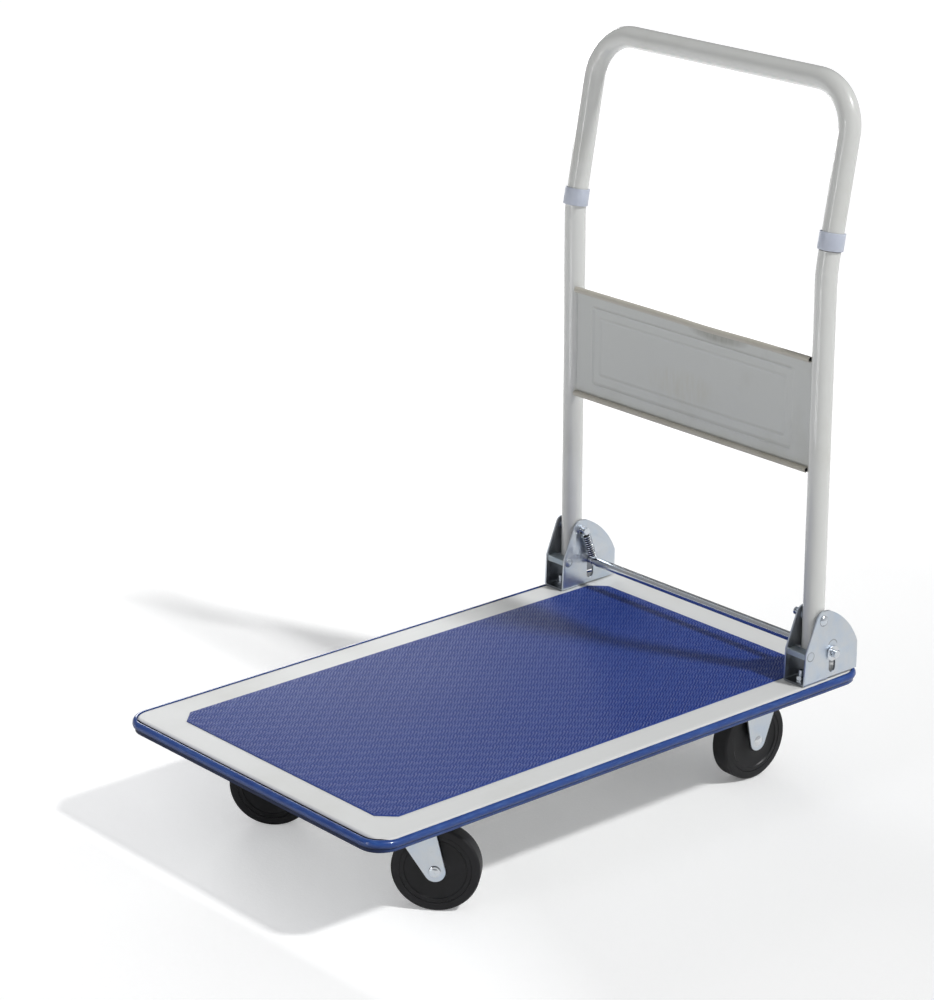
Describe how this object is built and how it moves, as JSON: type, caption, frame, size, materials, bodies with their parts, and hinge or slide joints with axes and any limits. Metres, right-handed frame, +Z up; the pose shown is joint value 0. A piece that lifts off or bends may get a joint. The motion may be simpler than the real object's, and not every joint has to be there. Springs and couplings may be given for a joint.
{
  "type": "folding platform cart",
  "caption": "Flat-deck platform cart with a ribbed anti-slip mat, edge bumper, swivel and fixed casters, and a folding tube handle held by a foot-pressed lock bar.",
  "frame": {"origin": "on the floor, under the middle of the deck", "axes": "+Z up; +Y towards the handle; X across the deck, +X on the right for a person who stands at the front and faces the handle"},
  "size_m": [0.452, 0.73, 0.8225],
  "materials": {
    "deck_enamel": "semi-gloss",
    "handle_enamel": "semi-gloss",
    "panel_enamel": "satin",
    "bumper_vinyl": "satin",
    "mat_rubber": "satin",
    "collar_plastic": "matt",
    "zinc_plate": "zinc plated",
    "hub_plastic": "matt",
    "tread_rubber": "matt"
  },
  "bodies": {
    "deck": {"deck_pan": "deck_enamel", "bumper_strip": "bumper_vinyl", "anti_slip_mat": "mat_rubber", "rib_left": "deck_enamel", "rib_right": "deck_enamel", "bracket_left": "zinc_plate", "bracket_right": "zinc_plate", "stop_strap_left": "zinc_plate", "stop_strap_right": "zinc_plate", "strap_rivets": "zinc_plate", "bracket_bolts": "zinc_plate", "bracket_nuts": "zinc_plate", "pivot_pin_left": "zinc_plate", "pivot_pin_right": "zinc_plate", "spring_left": "zinc_plate", "spring_right": "zinc_plate", "swivel_plate_left": "zinc_plate", "swivel_plate_right": "zinc_plate", "kingpin_left": "zinc_plate", "kingpin_right": "zinc_plate", "rear_fork_left": "zinc_plate", "rear_fork_right": "zinc_plate", "rear_axle_left": "zinc_plate", "rear_axle_right": "zinc_plate", "caster_bolts": "zinc_plate", "caster_nuts": "zinc_plate"},
    "handle": {"upright_left": "handle_enamel", "upright_right": "handle_enamel", "pivot_bush_left": "zinc_plate", "pivot_bush_right": "zinc_plate", "handle_bow": "handle_enamel", "collar_left": "collar_plastic", "collar_right": "collar_plastic", "back_panel": "panel_enamel"},
    "lock_bar": {"lock_rod": "zinc_plate", "rod_sleeve": "zinc_plate", "rod_washers": "zinc_plate", "rod_cotters": "zinc_plate"},
    "caster_left": {"swivel_fork_left": "zinc_plate", "ball_ring_left": "zinc_plate", "front_axle_left": "zinc_plate"},
    "front_wheel_left": {"front_bush_left": "zinc_plate", "front_hub_left": "hub_plastic", "front_tyre_left": "tread_rubber"},
    "rear_wheel_left": {"rear_bush_left": "zinc_plate", "rear_hub_left": "hub_plastic", "rear_tyre_left": "tread_rubber"},
    "caster_right": {"swivel_fork_right": "zinc_plate", "ball_ring_right": "zinc_plate", "front_axle_right": "zinc_plate"},
    "front_wheel_right": {"front_bush_right": "zinc_plate", "front_hub_right": "hub_plastic", "front_tyre_right": "tread_rubber"},
    "rear_wheel_right": {"rear_bush_right": "zinc_plate", "rear_hub_right": "hub_plastic", "rear_tyre_right": "tread_rubber"}
  },
  "joints": [
    {"name": "handle_fold", "type": "hinge", "parent": "deck", "child": "handle", "pos_m": [0, 0.294, 0.204], "axis": [1, 0, 0], "range_deg": [0, 98]},
    {"name": "lock_bar_press", "type": "slide", "parent": "deck", "child": "lock_bar", "axis": [0, 0, -1], "range_m": [0, 0.018], "stiffness_N_per_m": 1200, "springref_m": -0.012, "deforming": ["spring_left", "spring_right"]},
    {"name": "swivel_left", "type": "hinge", "parent": "deck", "child": "caster_left", "pos_m": [-0.141, -0.26, 0.115], "axis": [0, 0, 1], "continuous": true},
    {"name": "front_wheel_spin_left", "type": "hinge", "parent": "caster_left", "child": "front_wheel_left", "pos_m": [-0.11573, -0.23725, 0.048], "axis": [0.6691, -0.7431, 0], "continuous": true},
    {"name": "rear_wheel_spin_left", "type": "hinge", "parent": "deck", "child": "rear_wheel_left", "pos_m": [-0.143, 0.255, 0.048], "axis": [1, 0, 0], "continuous": true},
    {"name": "swivel_right", "type": "hinge", "parent": "deck", "child": "caster_right", "pos_m": [0.141, -0.26, 0.115], "axis": [0, 0, 1], "continuous": true},
    {"name": "front_wheel_spin_right", "type": "hinge", "parent": "caster_right", "child": "front_wheel_right", "pos_m": [0.16627, -0.23725, 0.048], "axis": [0.6691, -0.7431, 0], "continuous": true},
    {"name": "rear_wheel_spin_right", "type": "hinge", "parent": "deck", "child": "rear_wheel_right", "pos_m": [0.143, 0.255, 0.048], "axis": [1, 0, 0], "continuous": true}
  ]
}
